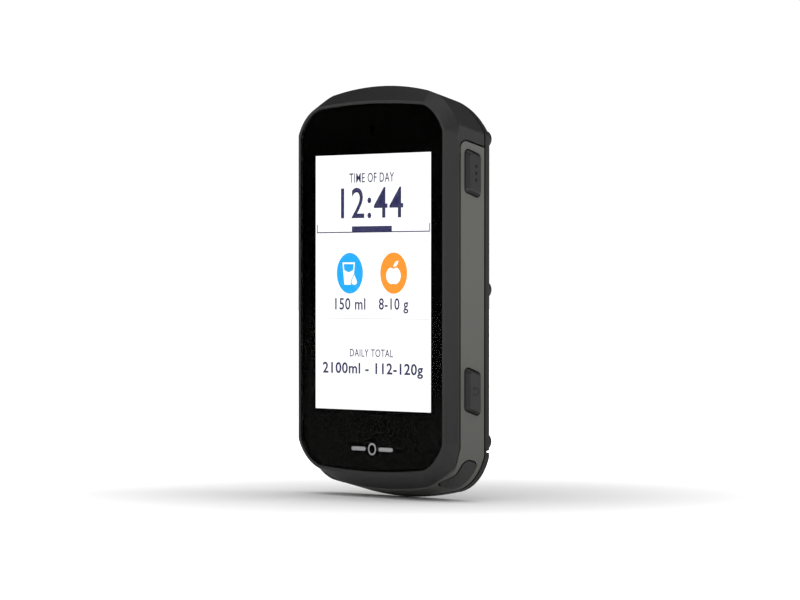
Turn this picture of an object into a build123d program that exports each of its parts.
"""Handlebar cycling computer: faceted housing, cover glass, side trim, seven buttons,
weather cap and quarter-turn mount, with the display, boards and battery inside.

Millimetres. The glass faces -Y, +Z runs up the long axis and +X is to the right of
someone who reads the display. The origin is the centre of the quarter-turn mount's end
face. "Depth" is counted from the glass towards the back, and "lean" is how far the
walls drop for each millimetre of depth."""

import os
from collections import namedtuple
from math import hypot

from build123d import *

# ---- driving dimensions ----------------------------------------------------------
TOTAL_DEPTH = 16.6          # glass face to the mount's end face
LEAN = 0.257                # walls drop this much per millimetre of depth

# depths of the layers, counted from the glass face
GLASS_BACK = 0.70
MASK_FRONT = 0.71
MASK_BACK = 0.78
LEDGE_DEPTH = 0.90
FRONT_WALL_BACK = 2.0
TRAY_FRONT = 2.15
TRAY_BACK = 3.25
CHASSIS_FRONT = 3.5
CHASSIS_BACK = 4.3
BOARD_FRONT = 5.0
BOARD_BACK = 5.8
BATTERY_FRONT = 4.9
BATTERY_BACK = 8.9
SEAM_FRONT = 9.45           # back end of housing and trim
SEAM_BACK = 9.83            # front face of the rear cover
COVER_BACK = 11.18
PLATEAU_BACK = 12.38

# thicknesses measured inwards from the outer wall
TRIM_THICKNESS = 1.1
WALL_THICKNESS = 3.4
FIT_GAP = 0.26              # round the heads of the buttons
SEAM_GAP = 0.42             # between the housing and the trim
SNUG = 0.05

# an eight-sided outline: straight sides, arched ends, four bulged corners;
# corner points are (x, z), bulges are the arcs' heights over their chords
Outline = namedtuple(
    "Outline",
    "half_width side_top corner_top top side_bottom corner_bottom bottom"
    " bulge_top bulge_bottom",
)
GLASS_EDGE = Outline(24.05, 34.4, (17.6, 40.27), 41.07, -32.7, (17.55, -38.62), -39.44, 1.0, 1.0)
LIP_EDGE = Outline(24.85, 34.8, (17.9, 40.95), 41.77, -33.0, (17.8, -39.35), -40.24, 1.05, 1.05)
BEVEL_MIDDLE = Outline(27.0, 36.1, (16.9, 42.63), 43.83, -35.2, (16.32, -40.8), -41.67, 0.8, 0.35)
BEVEL_FOOT = Outline(33.0, 39.8, (14.1, 47.3), 49.5, -38.5, (12.2, -44.8), -45.6, 0.1, 0.2)
WALL = Outline(27.0, 36.54, (16.1, 44.3), 45.89, -33.0, (17.0, -40.95), -42.55, 1.18, 1.85)
BEVEL_MIDDLE_DEPTH = 1.98
BEVEL_FOOT_DEPTH = 7.5
CORNER_SOFTENING = 1.2
BEVEL_SOFTENING = 6.0       # the same corners are rounder on the bevel
SIDE_RISE = 0.3             # how far a side's ends move along it when it moves out by one
END_SHIFT = 0.27            # the same for an end's corners, across and along
END_RISE = 0.97

# display: active area and its centre height
DISPLAY_WIDTH = 39.33
DISPLAY_HEIGHT = 56.18
DISPLAY_CENTRE = 2.0
PANEL_HALF = 21.0
PANEL_BOTTOM = -30.9
PANEL_TOP = 31.6
SENSOR_HEIGHT = 35.34
SENSOR_RADIUS = 1.0

# side trim: its edge in side view, as (depth, z)
TRIM_EDGE = [
    (2.8, 32.6),
    (2.8, -35.2),
    (4.75, -43.07),
    (4.97, -50.0),
    (SEAM_FRONT, -50.0),
    (SEAM_FRONT, 30.9),
]
TRIM_CORNER_RADIUS = 1.4

# side buttons
BUTTON_DEPTH = 6.13
BUTTON_LENGTH = 9.2
BUTTON_WIDTH = 4.15
BUTTON_SKEW = 0.34          # rise of the button's ends per millimetre towards the glass
BUTTON_HEIGHT = 1.1
BUTTON_DRAFT = 0.6
UPPER_BUTTON = 25.4
LOWER_BUTTON = -21.5
UP_BUTTON = -8.6
DOT_SPACING = 1.48
DOT_RADIUS = 0.37

# corner buttons
CORNER_DEPTH = 6.45
CORNER_LENGTH = 10.6
CORNER_WIDTH = 3.5
CORNER_SHIFT = -0.7         # towards the bottom, along the corner
CORNER_PROUD = 0.12

# rear cover, its screws and the weather cap
SCREW_X = 24.6
SCREW_HEIGHTS = (32.9, 0.4, -32.4)
SCREW_PLACES = [(x, z) for z in SCREW_HEIGHTS for x in (-SCREW_X, SCREW_X)]
SCREW_PILOT = 0.62
BOSS_RADIUS = 1.75
BOSS_BREAK = 0.2
REAR_EDGE = 0.4             # rounding of the cover's and the cap's rear edge
GASKET_INSET = 0.35
GASKET_INNER = 3.3
HINGE_HEIGHT = -34.75
HINGE_DEPTH = 10.83
HINGE_RADIUS = 0.35
HINGE_PLAY = 0.12
HINGE_HALF_LENGTH = 25.9
CAP_PLATE = 0.8             # thickness of the cap's plate
CAP_RIM = 0.95
CAP_GAP = 0.1
SEAL_PAD = (10.6, 4.6)      # the cap's pad, the well it sits in and the plug's hole
SEAL_WELL = (12.0, 5.6)
PLUG_HOLE = (9.2, 3.4)
PLATEAU = (40.0, 58.0, 9.0)  # raised field: width, height, corner radius
PLATEAU_CENTRE = 1.0
PLATEAU_BREAK = 0.7
SOCKET_HEIGHT = -39.3
VENT_HEIGHT = 19.5
VENT_RADIUS = 0.6

# quarter-turn mount
HUB_RADIUS = 12.7
EAR_RADIUS = 15.3
EAR_THICKNESS = 1.9
EAR_SPAN = 21.0             # width of each ear across the hub
EAR_CHAMFER = 0.35
HUB_RECESS = 9.6
HUB_FLOOR = 1.22
HUB_NOTCH = 1.0
MOUNT_SCREWS = [(x, z) for z in (-4.4, 4.4) for x in (-4.4, 4.4)]
CONTACT_PLACES = [index * 1.9 - 3.8 for index in range(5)]

# inside: screw places
CHASSIS_SCREWS = [(x, z) for z in (36.0, -34.3) for x in (-14.5, 14.5)]
CHASSIS_POST = 1.7
CHASSIS_PILOT = 0.62
BOARD_SCREWS = [(x, z) for z in (10.5, 34.0) for x in (-18.6, 18.6)]
BOARD_POST = 1.5
BOARD_PILOT = 0.52

# inside: blocks as x low, x high, z low, z high, front depth, back depth
GLASS_WINDOW = (-21.4, 21.4, PANEL_BOTTOM - 0.5, PANEL_TOP + 0.4, -1.0, FRONT_WALL_BACK + 0.5)
FLEX_NOTCH = (-6.6, 6.6, PANEL_BOTTOM - 1.5, PANEL_BOTTOM, 1.2, FRONT_WALL_BACK + 0.5)
SOCKET_POCKET = (-7.8, 7.8, SOCKET_HEIGHT - 2.1, -36.0, 2.9, COVER_BACK)
SENSOR_CHIP = (-1.1, 1.1, SENSOR_HEIGHT - 0.8, SENSOR_HEIGHT + 0.8, 1.3, 1.9)
DISPLAY_CELL = (-PANEL_HALF, PANEL_HALF, PANEL_BOTTOM, PANEL_TOP, MASK_BACK, 2.1)
LIGHT_GUIDE = (-20.9, 20.9, PANEL_BOTTOM, PANEL_TOP, 2.1, 3.0)
TRAY_OUTSIDE = (-21.3, 21.3, PANEL_BOTTOM - 0.3, PANEL_TOP + 0.3, TRAY_FRONT, TRAY_BACK)
TRAY_INSIDE = (-21.08, 21.08, PANEL_BOTTOM - 0.08, PANEL_TOP + 0.08, 0.0, TRAY_BACK - 0.2)
CHASSIS_PLATE = (-21.5, 21.5, -36.4, 38.5, CHASSIS_FRONT, CHASSIS_BACK)
CHASSIS_SLOT = (-7.0, 7.0, 8.5, 16.0, 0.0, COVER_BACK)
CHASSIS_WINDOWS = [(x - 4.0, x + 4.0, 18.0, 30.0, 0.0, COVER_BACK) for x in (-13.8, 13.8)]
MAIN_BOARD = (-20.4, 20.4, 8.0, 36.0, BOARD_FRONT, BOARD_BACK)
SHIELD_CANS = [(-10.8, 28.0, 12.5, 11.0), (-9.5, 14.6, 12.0, 10.0)]
CAN_HEIGHT = 1.5
CAN_SHEET = 0.2
CONNECTORS = [
    (-5.5, 5.5, 11.6, 14.4, 4.66, BOARD_FRONT),
    (1.5, 5.5, 9.0, 11.0, BOARD_BACK, BOARD_BACK + 0.9),
    (-19.8, -18.2, 18.0, 26.0, BOARD_BACK, BOARD_BACK + 0.9),
    (18.4, 20.0, 18.0, 26.0, BOARD_BACK, BOARD_BACK + 0.9),
]
GNSS_PATCH = (3.5, 17.5, 20.6, 34.6, BOARD_BACK, BOARD_BACK + 3.0)
RADIO_CHIP = (-3.2, 2.0, 32.5, 34.5, BOARD_BACK, BOARD_BACK + 1.1)
BUZZER = (12.2, 14.6, 4.6, BOARD_BACK, BOARD_BACK + 2.2)
PRESSURE_CHIP = (-1.25, 1.25, VENT_HEIGHT - 1.25, VENT_HEIGHT + 1.25, BOARD_BACK, BOARD_BACK + 0.9)
MEMBRANE = (0.0, VENT_HEIGHT, 1.8, SEAM_BACK - 0.25, SEAM_BACK)
BATTERY = (-19.5, 19.5, -31.5, 6.2, BATTERY_FRONT, BATTERY_BACK)
BATTERY_PAD = (-17.0, 17.0, -29.0, 4.0, CHASSIS_BACK, BATTERY_FRONT)
BATTERY_LEAD = (2.0, 5.0, 6.2, 8.9, BOARD_BACK + 0.1, BOARD_BACK + 0.4)
SOCKET_SHELL = (8.94, 3.16)
SOCKET_MOUTH = (8.34, 2.56)
SOCKET_START = 3.7
SOCKET_FLOOR = 4.3
TONGUE = (-3.35, 3.35, SOCKET_HEIGHT - 0.35, SOCKET_HEIGHT + 0.35, SOCKET_FLOOR, 8.9)
SOCKET_BOARD = (-7.4, 7.4, SOCKET_HEIGHT - 1.9, -36.6, 3.0, SOCKET_START)
FLEX_ROUTE = [
    (1.5, PANEL_BOTTOM - 0.1),
    (1.5, PANEL_BOTTOM - 1.0),
    (3.38, PANEL_BOTTOM - 1.0),
    (3.38, 10.5),
    (4.6, 10.5),
    (4.6, 14.0),
]
FLEX_HALF_WIDTH = 6.0

BIG = 60.0                  # reaches past the object in any direction


# ---- planes and shared shapes ----------------------------------------------------
def back(depth):
    """Y of a depth behind the glass face."""
    return depth - TOTAL_DEPTH


def front_plane(depth, drop=0.0):
    """Plane that faces the reader at a depth: local x is +X and local y is +Z."""
    return Plane(origin=(0, back(depth), -drop), x_dir=(1, 0, 0), z_dir=(0, -1, 0))


def side_view_plane():
    """Plane at the far left that looks along +X: local x is +Y and local y is +Z."""
    return Plane(origin=(-BIG, 0, 0), x_dir=(0, 1, 0), z_dir=(1, 0, 0))


def grown_outline(outline, by):
    """The outline with every side moved outwards, or inwards where by is negative."""
    def corner(point, sign):
        return point[0] + END_SHIFT * by, point[1] + sign * END_RISE * by

    def bulge(low, high, height):
        half_chord = hypot(high[0] - low[0], high[1] - low[1]) / 2
        radius = (half_chord**2 + height**2) / (2 * height)
        return height * (1 + by / radius)

    o = outline
    return Outline(
        o.half_width + by,
        o.side_top + SIDE_RISE * by,
        corner(o.corner_top, 1),
        o.top + by,
        o.side_bottom - SIDE_RISE * by,
        corner(o.corner_bottom, -1),
        o.bottom - by,
        bulge((o.half_width, o.side_top), o.corner_top, o.bulge_top),
        bulge((o.half_width, o.side_bottom), o.corner_bottom, o.bulge_bottom),
    )


def outline_face(outline, grow=0.0, softening=CORNER_SOFTENING):
    """The outline as a face, grown or shrunk, with its eight corners softened."""
    o = grown_outline(outline, grow)
    with BuildSketch() as face:
        with BuildLine():
            right = Line((o.half_width, o.side_bottom), (o.half_width, o.side_top))
            top_right = SagittaArc(right @ 1, o.corner_top, -o.bulge_top)
            top = ThreePointArc(top_right @ 1, (0, o.top), (-o.corner_top[0], o.corner_top[1]))
            top_left = SagittaArc(top @ 1, (-o.half_width, o.side_top), -o.bulge_top)
            left = Line(top_left @ 1, (-o.half_width, o.side_bottom))
            low_left = SagittaArc(left @ 1, (-o.corner_bottom[0], o.corner_bottom[1]), -o.bulge_bottom)
            bottom = ThreePointArc(low_left @ 1, (0, o.bottom), o.corner_bottom)
            SagittaArc(bottom @ 1, right @ 0, -o.bulge_bottom)
        make_face()
        fillet(face.vertices(), radius=softening)
    return face.sketch


def leaning_block(start, end, grow=0.0):
    """The wall's outline carried from one depth to another along the lean."""
    profile = outline_face(WALL, grow)
    with BuildPart() as block:
        with BuildSketch(front_plane(start, drop=LEAN * start)):
            add(profile)
        extrude(amount=(end - start) * hypot(1, LEAN), dir=(0, 1, -LEAN))
    return block.part


def flat_block(profile, start, end):
    """A front-view profile carried straight back from one depth to another."""
    with BuildPart() as block:
        with BuildSketch(front_plane(end)):
            add(profile)
        extrude(amount=end - start)
    return block.part


def panel(x_low, x_high, z_low, z_high, start, end):
    """A rectangular block between two corners and two depths."""
    with BuildPart() as block:
        with Locations(((x_low + x_high) / 2, back((start + end) / 2), (z_low + z_high) / 2)):
            Box(x_high - x_low, end - start, z_high - z_low)
    return block.part


def round_post(x, z, radius, start, end):
    """A round post or cutter along the depth at (x, z)."""
    with BuildPart() as post:
        with BuildSketch(front_plane(end)):
            with Locations((x, z)):
                Circle(radius)
        extrude(amount=end - start)
    return post.part


def bevelled_front():
    """The flared block whose flanks are the front bevel all round."""
    lip = outline_face(LIP_EDGE)
    middle = outline_face(BEVEL_MIDDLE, softening=BEVEL_SOFTENING)
    foot = outline_face(BEVEL_FOOT, softening=BEVEL_SOFTENING)
    with BuildPart() as flare:
        with BuildSketch(front_plane(0)):
            add(lip)
        with BuildSketch(front_plane(BEVEL_MIDDLE_DEPTH)):
            add(middle)
        with BuildSketch(front_plane(BEVEL_FOOT_DEPTH)):
            add(foot)
        loft(ruled=True)
        with BuildSketch(front_plane(COVER_BACK + 1)):
            add(outline_face(BEVEL_FOOT, grow=2.0))
        extrude(amount=COVER_BACK + 1 - BEVEL_FOOT_DEPTH)
    return flare.part


def trim_zone(grow):
    """Everything behind the trim's front edge and below its top edge."""
    with BuildPart() as zone:
        with BuildSketch(side_view_plane()) as edge:
            with BuildLine():
                Polyline([(back(depth), z) for depth, z in TRIM_EDGE], close=True)
            make_face()
            fillet(edge.vertices().group_by(Axis.Y)[-1], radius=TRIM_CORNER_RADIUS)
            if grow:
                offset(amount=grow)
        extrude(amount=2 * BIG)
    return zone.part


def skewed_face(length, width, skew, radius):
    """A rounded parallelogram: local x is its length, local y points to the glass."""
    reach = length / 2
    rise = skew * width / 2
    with BuildSketch() as face:
        Polygon(
            (reach + rise, width / 2),
            (reach - rise, -width / 2),
            (-reach - rise, -width / 2),
            (-reach + rise, width / 2),
            align=None,
        )
        fillet(face.vertices(), radius=radius)
    return face.sketch


def along(plane, profile, low, high):
    """A profile drawn on a plane and carried between two heights above it."""
    with BuildPart() as block:
        with BuildSketch(plane.offset(low)):
            add(profile)
        extrude(amount=high - low)
    return block.part


def mirrored(part):
    """The same part on the other side of the middle plane."""
    with BuildPart() as other:
        mirror(part, about=Plane.YZ, mode=Mode.ADD)
    return other.part


def joined(*parts):
    """Several separate solids kept in one node."""
    with BuildPart() as group:
        for piece in parts:
            add(piece)
    return group.part


# ---- button stations -------------------------------------------------------------
Station = namedtuple(
    "Station",
    "plane head flange pocket seal flange_top flange_bottom seal_top seal_bottom"
    " tip switch_top board_size",
)
PLUNGER_RADIUS = 0.9


def side_station(z):
    """A right-hand side button, on a plane that lies on the flat side wall."""
    return Station(
        plane=Plane(origin=(WALL.half_width, back(BUTTON_DEPTH), z), x_dir=(0, 0, 1), z_dir=(1, 0, 0)),
        head=(BUTTON_LENGTH, BUTTON_WIDTH, BUTTON_SKEW, 0.8),
        flange=(10.2, 5.2, BUTTON_SKEW, 0.8),
        pocket=(10.5, 5.5, BUTTON_SKEW, 0.9),
        seal=(10.3, 5.3, BUTTON_SKEW, 0.8),
        flange_top=-1.3,
        flange_bottom=-1.85,
        seal_top=-2.3,
        seal_bottom=-2.7,
        tip=-3.5,
        switch_top=-3.95,
        board_size=(9.0, 3.4),
    )


def corner_station():
    """The lower right corner button, on a plane square to the corner's middle."""
    side = Vector(WALL.half_width, 0, WALL.side_bottom)
    low = Vector(WALL.corner_bottom[0], 0, WALL.corner_bottom[1])
    chord = (side - low).normalized()
    outward = Vector(chord.Z, 0, -chord.X)
    middle = (side + low) * 0.5 + outward * WALL.bulge_bottom
    drop = Vector(0, back(CORNER_DEPTH), -LEAN * CORNER_DEPTH)
    skew = LEAN * chord.Z
    return Station(
        plane=Plane(origin=middle + drop + chord * CORNER_SHIFT, x_dir=chord, z_dir=outward),
        head=(CORNER_LENGTH, CORNER_WIDTH, skew, 1.3),
        flange=(6.8, 4.4, skew, 0.6),
        pocket=(7.1, 4.7, skew, 0.7),
        seal=(6.9, 4.5, skew, 0.6),
        flange_top=-2.3,
        flange_bottom=-2.85,
        seal_top=-3.3,
        seal_bottom=-3.7,
        tip=-5.0,
        switch_top=-5.4,
        board_size=(7.4, 3.4),
    )


def grown(size, by):
    """A station profile's (length, width, skew, radius), grown by a gap all round."""
    length, width, skew, radius = size
    return length + 2 * by, width + 2 * by, skew, radius + by


def round_on(station, radius, low, high):
    """A round post or cutter on a station's plane."""
    with BuildSketch() as disc:
        Circle(radius)
    return along(station.plane, disc.sketch, low, high)


def button_base(station):
    """Retaining flange and plunger behind a button's head."""
    flange = along(station.plane, skewed_face(*station.flange), station.flange_bottom, station.flange_top)
    plunger = round_on(station, PLUNGER_RADIUS, station.tip, station.flange_bottom)
    return flange, plunger


def side_button(station, dots):
    """A raised side button with drafted flanks, and dots on its face if wanted."""
    length, width, skew, radius = station.head
    foot = skewed_face(*station.head)
    face = skewed_face(length - 2 * BUTTON_DRAFT, width - 2 * BUTTON_DRAFT, skew, radius - 0.3)
    stem = along(station.plane, foot, station.flange_top, 0.0)
    flange, plunger = button_base(station)
    marks = [
        along(station.plane, dot_face(index * DOT_SPACING), BUTTON_HEIGHT - 0.12, BUTTON_HEIGHT + 1)
        for index in dots
    ]
    with BuildPart() as cap:
        with BuildSketch(station.plane):
            add(foot)
        with BuildSketch(station.plane.offset(BUTTON_HEIGHT)):
            add(face)
        loft(ruled=True)
        rim = cap.faces().sort_by(Axis.X)[-1].edges()
        fillet(rim, radius=0.2)
        add(stem)
        add(flange)
        add(plunger)
        for mark in marks:
            add(mark, mode=Mode.SUBTRACT)
    return cap.part


def dot_face(x):
    """One round dot of the enter button's mark."""
    with BuildSketch() as dot:
        with Locations((x, 0)):
            Circle(DOT_RADIUS)
    return dot.sketch


def corner_button(station):
    """A flush button whose outer face follows the corner of the wall."""
    head = along(station.plane, skewed_face(*station.head), station.flange_top, 2.0)
    skin = leaning_block(0, SEAM_FRONT, grow=CORNER_PROUD)
    flange, plunger = button_base(station)
    with BuildPart() as cap:
        add(head)
        add(skin, mode=Mode.INTERSECT)
        add(flange)
        add(plunger)
    return cap.part


def button_openings(station):
    """Cutters for the trim's hole, the housing's pocket and the plunger's hole."""
    hole = along(station.plane, skewed_face(*grown(station.head, FIT_GAP)), station.flange_top - 0.45, 2.5)
    pocket_top = station.flange_top + 0.3
    pocket = along(station.plane, skewed_face(*station.pocket), station.seal_bottom, pocket_top)
    bore = round_on(station, PLUNGER_RADIUS + 0.3, station.tip - 1, station.seal_bottom + 0.1)
    return hole, pocket, bore


def seal_ring(station):
    """Silicone diaphragm under the flange, round the plunger."""
    sheet = along(station.plane, skewed_face(*station.seal), station.seal_bottom, station.seal_top)
    hole = round_on(station, PLUNGER_RADIUS + 0.15, station.seal_bottom - 1, station.seal_top + 1)
    with BuildPart() as ring:
        add(sheet)
        add(hole, mode=Mode.SUBTRACT)
    return ring.part


def tact_switch(station):
    """Switch body with its round actuator, on the far side of the plunger."""
    with BuildSketch() as body:
        Rectangle(4.2, 2.8)
    with BuildPart() as switch:
        add(along(station.plane, body.sketch, station.switch_top - 0.85, station.switch_top - 0.2))
        add(round_on(station, 0.8, station.switch_top - 0.2, station.switch_top))
    return switch.part


def switch_plate(station):
    """The small board behind one switch."""
    with BuildSketch() as plate:
        Rectangle(*station.board_size)
    top = station.switch_top - 0.85
    return along(station.plane, plate.sketch, top - 0.2, top)


def corner_block(station, core):
    """Inside of the housing thickened round the corner button's pocket."""
    profile = skewed_face(9.4, 6.4, 0.0, 0.8)
    with BuildPart() as block:
        add(along(station.plane, profile, station.seal_bottom - 0.9, station.flange_top))
        add(core, mode=Mode.INTERSECT)
    return block.part


# ---- front of the device ---------------------------------------------------------
def cover_glass():
    """Flat glass plate with its front edge broken."""
    profile = outline_face(GLASS_EDGE)
    block = flat_block(profile, 0, GLASS_BACK)
    with BuildPart() as glass:
        add(block)
        chamfer(glass.faces().sort_by(Axis.Y)[0].edges(), length=0.12)
    return glass.part


def display_window():
    """The display's active area, in front view."""
    with BuildSketch() as window:
        with Locations((0, DISPLAY_CENTRE)):
            Rectangle(DISPLAY_WIDTH, DISPLAY_HEIGHT)
    return window.sketch


def border_mask():
    """Black border film with the display's window and the sensor's hole."""
    sheet = flat_block(outline_face(GLASS_EDGE, grow=-SNUG), MASK_FRONT, MASK_BACK)
    window = flat_block(display_window(), 0, LEDGE_DEPTH)
    sensor = round_post(0, SENSOR_HEIGHT, SENSOR_RADIUS + 0.02, 0, LEDGE_DEPTH)
    with BuildPart() as mask:
        add(sheet)
        add(window, mode=Mode.SUBTRACT)
        add(sensor, mode=Mode.SUBTRACT)
    return mask.part


def glass_adhesive():
    """Bonding ring between the glass and its ledge."""
    outer = flat_block(outline_face(GLASS_EDGE, grow=-0.4), MASK_BACK, LEDGE_DEPTH)
    inner = flat_block(outline_face(GLASS_EDGE, grow=-1.9), 0, FRONT_WALL_BACK)
    with BuildPart() as ring:
        add(outer)
        add(inner, mode=Mode.SUBTRACT)
    return ring.part


def display_tray():
    """Shallow metal tray behind the light guide, with a low rim."""
    with BuildPart() as tray:
        add(panel(*TRAY_OUTSIDE))
        add(panel(*TRAY_INSIDE), mode=Mode.SUBTRACT)
    return tray.part


def display_flex():
    """Ribbon that folds round the tray's lower end and runs up behind it."""
    with BuildPart() as ribbon:
        with BuildSketch(Plane(origin=(-FLEX_HALF_WIDTH, 0, 0), x_dir=(0, 1, 0), z_dir=(1, 0, 0))):
            with BuildLine():
                FilletPolyline([(back(depth), z) for depth, z in FLEX_ROUTE], radius=0.5)
                offset(amount=0.06, side=Side.BOTH)
            make_face()
        extrude(amount=2 * FLEX_HALF_WIDTH)
    return ribbon.part


# ---- housing and trim ------------------------------------------------------------
def front_housing(body, stations, corner):
    """Bezel and walls: recessed for the trim, hollow, with posts and openings."""
    trim_recess_zone = trim_zone(grow=SEAM_GAP)
    core = leaning_block(0, COVER_BACK + 1, grow=-TRIM_THICKNESS - SNUG)
    cavity = leaning_block(FRONT_WALL_BACK, COVER_BACK + 1, grow=-WALL_THICKNESS)
    glass_seat = flat_block(outline_face(GLASS_EDGE, grow=0.1), -1, LEDGE_DEPTH)
    window = panel(*GLASS_WINDOW)
    flex_notch = panel(*FLEX_NOTCH)
    socket_pocket = panel(*SOCKET_POCKET)
    sensor_hole = round_post(0, SENSOR_HEIGHT, 1.7, 0, FRONT_WALL_BACK + 0.5)
    rear_end = panel(-BIG, BIG, -BIG, BIG, SEAM_FRONT, COVER_BACK + 2)
    with BuildPart() as recess:
        add(trim_recess_zone)
        add(core, mode=Mode.SUBTRACT)
    block = corner_block(corner, core)
    with BuildPart() as housing:
        add(body)
        for tool in (recess.part, cavity, glass_seat, window, flex_notch, socket_pocket, sensor_hole):
            add(tool, mode=Mode.SUBTRACT)
        add(block)
        add(mirrored(block))
        for x, z in CHASSIS_SCREWS:
            add(round_post(x, z, CHASSIS_POST, FRONT_WALL_BACK - 0.2, CHASSIS_FRONT))
        for x, z in CHASSIS_SCREWS:
            add(round_post(x, z, CHASSIS_PILOT, 1.6, CHASSIS_FRONT + 1), mode=Mode.SUBTRACT)
        for x, z in SCREW_PLACES:
            add(round_post(x, z, SCREW_PILOT, 4.9, SEAM_BACK), mode=Mode.SUBTRACT)
        for station, sides in stations:
            for tool in button_openings(station):
                if "right" in sides:
                    add(tool, mode=Mode.SUBTRACT)
                if "left" in sides:
                    add(mirrored(tool), mode=Mode.SUBTRACT)
        add(rear_end, mode=Mode.SUBTRACT)
    return housing.part


def side_trim(body, stations):
    """Band round both sides and the bottom, with the buttons' openings."""
    zone = trim_zone(grow=0.0)
    core = leaning_block(0, COVER_BACK + 1, grow=-TRIM_THICKNESS)
    with BuildPart() as trim:
        add(body)
        add(zone, mode=Mode.INTERSECT)
        add(core, mode=Mode.SUBTRACT)
        for station, sides in stations:
            hole = button_openings(station)[0]
            if "right" in sides:
                add(hole, mode=Mode.SUBTRACT)
            if "left" in sides:
                add(mirrored(hole), mode=Mode.SUBTRACT)
    return trim.part


# ---- back of the device ----------------------------------------------------------
def rear_gasket():
    """Flat ring that seals the housing to the rear cover, round the screws."""
    outer = leaning_block(SEAM_FRONT, SEAM_BACK, grow=-GASKET_INSET)
    inner = leaning_block(SEAM_FRONT - 1, SEAM_BACK + 1, grow=-GASKET_INNER)
    with BuildPart() as gasket:
        add(outer)
        add(inner, mode=Mode.SUBTRACT)
        for x, z in SCREW_PLACES:
            add(round_post(x, z, SCREW_PILOT, SEAM_FRONT - 1, SEAM_BACK + 1), mode=Mode.SUBTRACT)
    return gasket.part


def below_hinge(height):
    """Everything below a height, for cutting the cover and the cap apart."""
    return panel(-BIG, BIG, -BIG, height, 0, COVER_BACK + 5)


def hinge_rod(radius, half_length):
    """Round bar along X on the cap's hinge axis."""
    with BuildPart() as rod:
        with BuildSketch(Plane(origin=(-half_length, back(HINGE_DEPTH), HINGE_HEIGHT), z_dir=(1, 0, 0))):
            Circle(radius)
        extrude(amount=2 * half_length)
    return rod.part


def socket_face(length, width):
    """Pill shape of the charging socket, at its place in front view."""
    with BuildSketch() as face:
        with Locations((0, SOCKET_HEIGHT)):
            SlotOverall(length, width)
    return face.sketch


def rear_cover():
    """Back shell: raised field, screw bosses, and a lowered ledge under the cap."""
    plate = leaning_block(SEAM_BACK, COVER_BACK)
    platform = leaning_block(SEAM_BACK, COVER_BACK - CAP_PLATE - SNUG, grow=-CAP_RIM - CAP_GAP)
    cut_low = below_hinge(HINGE_HEIGHT + 0.3)
    well_floor = COVER_BACK - CAP_PLATE - 0.4
    with BuildSketch() as raised:
        with Locations((0, PLATEAU_CENTRE)):
            RectangleRounded(*PLATEAU)
    plateau = flat_block(raised.sketch, COVER_BACK - 0.3, PLATEAU_BACK)
    with BuildPart() as upper:
        add(plate)
        fillet(upper.faces().sort_by(Axis.Y)[-1].edges(), radius=REAR_EDGE)
        add(cut_low, mode=Mode.SUBTRACT)
        low_edge = upper.faces().filter_by(Axis.Y).sort_by(Axis.Y)[-1].edges().sort_by(Axis.Z)[0]
        chamfer(low_edge, length=0.3)
    with BuildPart() as lower:
        add(platform)
        add(below_hinge(HINGE_HEIGHT + 0.4), mode=Mode.INTERSECT)
    with BuildPart() as raised_field:
        add(plateau)
        chamfer(raised_field.faces().sort_by(Axis.Y)[-1].edges(), length=PLATEAU_BREAK)
    with BuildPart() as cover:
        add(upper.part)
        add(lower.part)
        add(raised_field.part)
        for x, z in SCREW_PLACES:
            add(screw_boss(x, z))
        for x, z in SCREW_PLACES:
            add(round_post(x, z, 0.75, SEAM_BACK - 1, PLATEAU_BACK + 1), mode=Mode.SUBTRACT)
            add(round_post(x, z, 1.15, PLATEAU_BACK - 0.55, PLATEAU_BACK + 1), mode=Mode.SUBTRACT)
        add(hinge_rod(HINGE_RADIUS + HINGE_PLAY, BIG), mode=Mode.SUBTRACT)
        add(flat_block(socket_face(*PLUG_HOLE), SEAM_BACK - 1, COVER_BACK), mode=Mode.SUBTRACT)
        add(flat_block(socket_face(*SEAL_WELL), well_floor, COVER_BACK), mode=Mode.SUBTRACT)
        for x, z in MOUNT_SCREWS:
            add(round_post(x, z, 0.8, 10.1, PLATEAU_BACK + 1), mode=Mode.SUBTRACT)
        for x in CONTACT_PLACES:
            add(round_post(x, 0, 0.85, 11.6, PLATEAU_BACK + 1), mode=Mode.SUBTRACT)
        add(round_post(0, VENT_HEIGHT, VENT_RADIUS, SEAM_BACK - 1, PLATEAU_BACK + 1), mode=Mode.SUBTRACT)
    return cover.part


def screw_boss(x, z):
    """Raised round boss for one rear screw, with a broken edge."""
    with BuildPart() as boss:
        with BuildSketch(front_plane(PLATEAU_BACK)):
            with Locations((x, z)):
                Circle(BOSS_RADIUS)
        extrude(amount=PLATEAU_BACK - COVER_BACK + 0.4)
        chamfer(boss.faces().sort_by(Axis.Y)[-1].edges(), length=BOSS_BREAK)
    return boss.part


def port_flap():
    """Weather cap: plate and rim over the charging port, with a hinge bead on top."""
    shell = leaning_block(SEAM_BACK, COVER_BACK)
    hollow = leaning_block(SEAM_BACK - 1, COVER_BACK - CAP_PLATE, grow=-CAP_RIM)
    upper_cut = panel(-BIG, BIG, HINGE_HEIGHT, BIG, 0, COVER_BACK + 5)
    seal_pad = flat_block(socket_face(*SEAL_PAD), COVER_BACK - CAP_PLATE - 0.3, COVER_BACK - 0.3)
    with BuildPart() as flap:
        add(shell)
        fillet(flap.faces().sort_by(Axis.Y)[-1].edges(), radius=REAR_EDGE)
        add(hollow, mode=Mode.SUBTRACT)
        add(upper_cut, mode=Mode.SUBTRACT)
        add(hinge_rod(HINGE_RADIUS, HINGE_HALF_LENGTH))
        add(seal_pad)
    return flap.part


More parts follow.
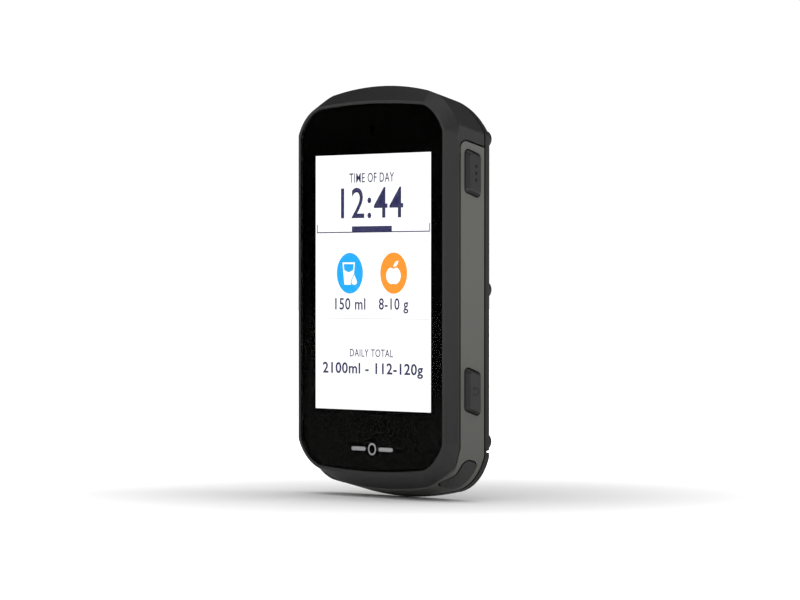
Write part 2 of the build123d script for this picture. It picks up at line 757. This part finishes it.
def quarter_turn_mount():
    """Bayonet hub: round neck, two ears at its free end, recessed floor."""
    hub = round_post(0, 0, HUB_RADIUS, PLATEAU_BACK, TOTAL_DEPTH)
    ring = round_post(0, 0, EAR_RADIUS, TOTAL_DEPTH - EAR_THICKNESS, TOTAL_DEPTH)
    band = panel(-BIG, BIG, -EAR_SPAN / 2, EAR_SPAN / 2, TOTAL_DEPTH - EAR_THICKNESS, TOTAL_DEPTH)
    recess = round_post(0, 0, HUB_RECESS, PLATEAU_BACK + HUB_FLOOR, TOTAL_DEPTH + 1)
    with BuildPart() as ears:
        add(ring)
        add(band, mode=Mode.INTERSECT)
        chamfer(ears.faces().sort_by(Axis.Y)[-1].edges(), length=EAR_CHAMFER)
    with BuildPart() as mount:
        add(hub)
        chamfer(mount.faces().sort_by(Axis.Y)[-1].edges(), length=EAR_CHAMFER)
        add(ears.part)
        add(recess, mode=Mode.SUBTRACT)
        for z in (-HUB_RADIUS, HUB_RADIUS):
            add(round_post(0, z, HUB_NOTCH, TOTAL_DEPTH - 1.2, TOTAL_DEPTH + 1), mode=Mode.SUBTRACT)
        for x, z in MOUNT_SCREWS:
            add(round_post(x, z, 0.85, PLATEAU_BACK - 1, TOTAL_DEPTH), mode=Mode.SUBTRACT)
            add(round_post(x, z, 1.4, PLATEAU_BACK + 0.5, TOTAL_DEPTH), mode=Mode.SUBTRACT)
        for x in CONTACT_PLACES:
            add(round_post(x, 0, 0.85, PLATEAU_BACK - 1, TOTAL_DEPTH), mode=Mode.SUBTRACT)
    return mount.part


def star_screw(x, z, head_radius, head_start, head_end, shank_radius, shank_start):
    """Screw along the depth with a six-lobed drive in its head."""
    drive_depth = (head_end - head_start) * 0.7
    with BuildPart() as screw:
        add(round_post(x, z, head_radius, head_start, head_end))
        add(round_post(x, z, shank_radius, shank_start, head_start))
        with BuildSketch(front_plane(head_end)):
            with Locations((x, z)):
                Circle(head_radius * 0.42)
                with PolarLocations(head_radius * 0.42, 6):
                    Circle(head_radius * 0.15)
        extrude(amount=drive_depth, mode=Mode.SUBTRACT)
    return screw.part


# ---- inside ----------------------------------------------------------------------
def chassis():
    """Stiffening plate behind the display, with windows and board posts."""
    plate = panel(*CHASSIS_PLATE)
    inside = leaning_block(CHASSIS_FRONT - 1, CHASSIS_BACK + 1, grow=-WALL_THICKNESS - 0.3)
    with BuildPart() as frame:
        add(plate)
        add(inside, mode=Mode.INTERSECT)
        for x, z in BOARD_SCREWS:
            add(round_post(x, z, BOARD_POST, CHASSIS_BACK - 0.2, BOARD_FRONT))
        add(panel(*CHASSIS_SLOT), mode=Mode.SUBTRACT)
        for window in CHASSIS_WINDOWS:
            add(panel(*window), mode=Mode.SUBTRACT)
        for x, z in BOARD_SCREWS:
            add(round_post(x, z, BOARD_PILOT, CHASSIS_BACK - 0.5, BOARD_FRONT + 1), mode=Mode.SUBTRACT)
        for x, z in CHASSIS_SCREWS:
            add(round_post(x, z, 0.7, CHASSIS_FRONT - 1, CHASSIS_BACK + 1), mode=Mode.SUBTRACT)
    return frame.part


def main_board():
    """Circuit board with rounded corners and four screw holes."""
    with BuildPart() as board:
        add(panel(*MAIN_BOARD))
        fillet(board.edges().filter_by(Axis.Y), radius=2.0)
        for x, z in BOARD_SCREWS:
            add(round_post(x, z, 0.6, BOARD_FRONT - 1, BOARD_BACK + 1), mode=Mode.SUBTRACT)
    return board.part


def shield_can(x, z, width, height):
    """Folded sheet lid over a group of chips, open towards the board."""
    across, tall = width / 2, height / 2
    inside_across, inside_tall = across - CAN_SHEET, tall - CAN_SHEET
    top = BOARD_BACK + CAN_HEIGHT
    lid = panel(x - across, x + across, z - tall, z + tall, BOARD_BACK, top)
    room = panel(
        x - inside_across, x + inside_across, z - inside_tall, z + inside_tall, BOARD_BACK, top - CAN_SHEET
    )
    with BuildPart() as can:
        add(lid)
        fillet(can.faces().sort_by(Axis.Y)[-1].edges(), radius=0.3)
        add(room, mode=Mode.SUBTRACT)
    return can.part


def usb_socket():
    """Pill-shaped metal shell, closed at its inner end."""
    shell = flat_block(socket_face(*SOCKET_SHELL), SOCKET_START, COVER_BACK - CAP_PLATE - 0.45)
    mouth = flat_block(socket_face(*SOCKET_MOUTH), SOCKET_FLOOR, COVER_BACK)
    with BuildPart() as socket:
        add(shell)
        add(mouth, mode=Mode.SUBTRACT)
    return socket.part


def battery():
    """Pouch cell with rounded long sides."""
    with BuildPart() as cell:
        add(panel(*BATTERY))
        fillet(cell.edges().filter_by(Axis.Z), radius=1.4)
    return cell.part


# ---- build and write -------------------------------------------------------------
def main():
    """Build every node and write one STEP file for each."""
    flare = bevelled_front()
    with BuildPart() as body:
        add(leaning_block(0, COVER_BACK + 0.5))
        add(flare, mode=Mode.INTERSECT)
    body = body.part

    upper = side_station(UPPER_BUTTON)
    lower = side_station(LOWER_BUTTON)
    up = side_station(UP_BUTTON)
    corner = corner_station()
    stations = [
        (upper, ("right", "left")),
        (lower, ("right", "left")),
        (up, ("left",)),
        (corner, ("right", "left")),
    ]
    right_hand = [station for station, sides in stations if "right" in sides]
    left_hand = [station for station, _ in stations]

    def every(make):
        """One piece per button, on both sides of the device."""
        pieces = [make(station) for station in right_hand]
        pieces += [mirrored(make(station)) for station in left_hand]
        return joined(*pieces)

    contact_tip = PLATEAU_BACK + HUB_FLOOR + 0.1
    contacts = [round_post(x, 0, 0.8, 11.7, contact_tip) for x in CONTACT_PLACES]
    mount_heads = (1.3, PLATEAU_BACK + 0.5, PLATEAU_BACK + 1.2, 0.78, 10.15)
    rear_heads = (1.05, PLATEAU_BACK - 0.55, PLATEAU_BACK - 0.05, 0.6, 5.2)
    chassis_heads = (1.2, CHASSIS_BACK, CHASSIS_BACK + 0.5, 0.6, 1.8)
    board_heads = (1.0, BOARD_BACK, BOARD_BACK + 0.5, 0.5, CHASSIS_BACK - 0.3)

    nodes = {
        "cover_glass": cover_glass(),
        "border_mask": border_mask(),
        "glass_adhesive": glass_adhesive(),
        "sensor_window": round_post(0, SENSOR_HEIGHT, SENSOR_RADIUS, GLASS_BACK, 1.25),
        "light_sensor": panel(*SENSOR_CHIP),
        "display_panel": panel(*DISPLAY_CELL),
        "backlight": panel(*LIGHT_GUIDE),
        "display_tray": display_tray(),
        "display_flex": display_flex(),
        "front_housing": front_housing(body, stations, corner),
        "side_trim": side_trim(body, stations),
        "rear_gasket": rear_gasket(),
        "rear_cover": rear_cover(),
        "port_flap": port_flap(),
        "quarter_turn_mount": quarter_turn_mount(),
        "enter_button": side_button(upper, dots=(-1, 0, 1)),
        "back_button": side_button(lower, dots=()),
        "power_button": mirrored(side_button(upper, dots=())),
        "up_button": mirrored(side_button(up, dots=())),
        "down_button": mirrored(side_button(lower, dots=())),
        "start_button": corner_button(corner),
        "lap_button": mirrored(corner_button(corner)),
        "button_seals": every(seal_ring),
        "button_switches": every(tact_switch),
        "switch_boards": every(switch_plate),
        "chassis": chassis(),
        "main_board": main_board(),
        "shield_cans": joined(*[shield_can(*place) for place in SHIELD_CANS]),
        "board_connectors": joined(*[panel(*block) for block in CONNECTORS]),
        "gnss_antenna": panel(*GNSS_PATCH),
        "radio_antenna": panel(*RADIO_CHIP),
        "buzzer": round_post(*BUZZER),
        "barometer": panel(*PRESSURE_CHIP),
        "vent_membrane": round_post(*MEMBRANE),
        "battery": battery(),
        "battery_pad": panel(*BATTERY_PAD),
        "battery_lead": panel(*BATTERY_LEAD),
        "usb_socket": usb_socket(),
        "usb_tongue": panel(*TONGUE),
        "usb_board": panel(*SOCKET_BOARD),
        "power_contacts": joined(*contacts),
        "mount_screws": joined(*[star_screw(x, z, *mount_heads) for x, z in MOUNT_SCREWS]),
        "rear_screws": joined(*[star_screw(x, z, *rear_heads) for x, z in SCREW_PLACES]),
        "chassis_screws": joined(*[star_screw(x, z, *chassis_heads) for x, z in CHASSIS_SCREWS]),
        "board_screws": joined(*[star_screw(x, z, *board_heads) for x, z in BOARD_SCREWS]),
    }
    os.makedirs("parts", exist_ok=True)
    for name, part in nodes.items():
        part.label = name
        export_step(part, f"parts/{name}.step")


main()
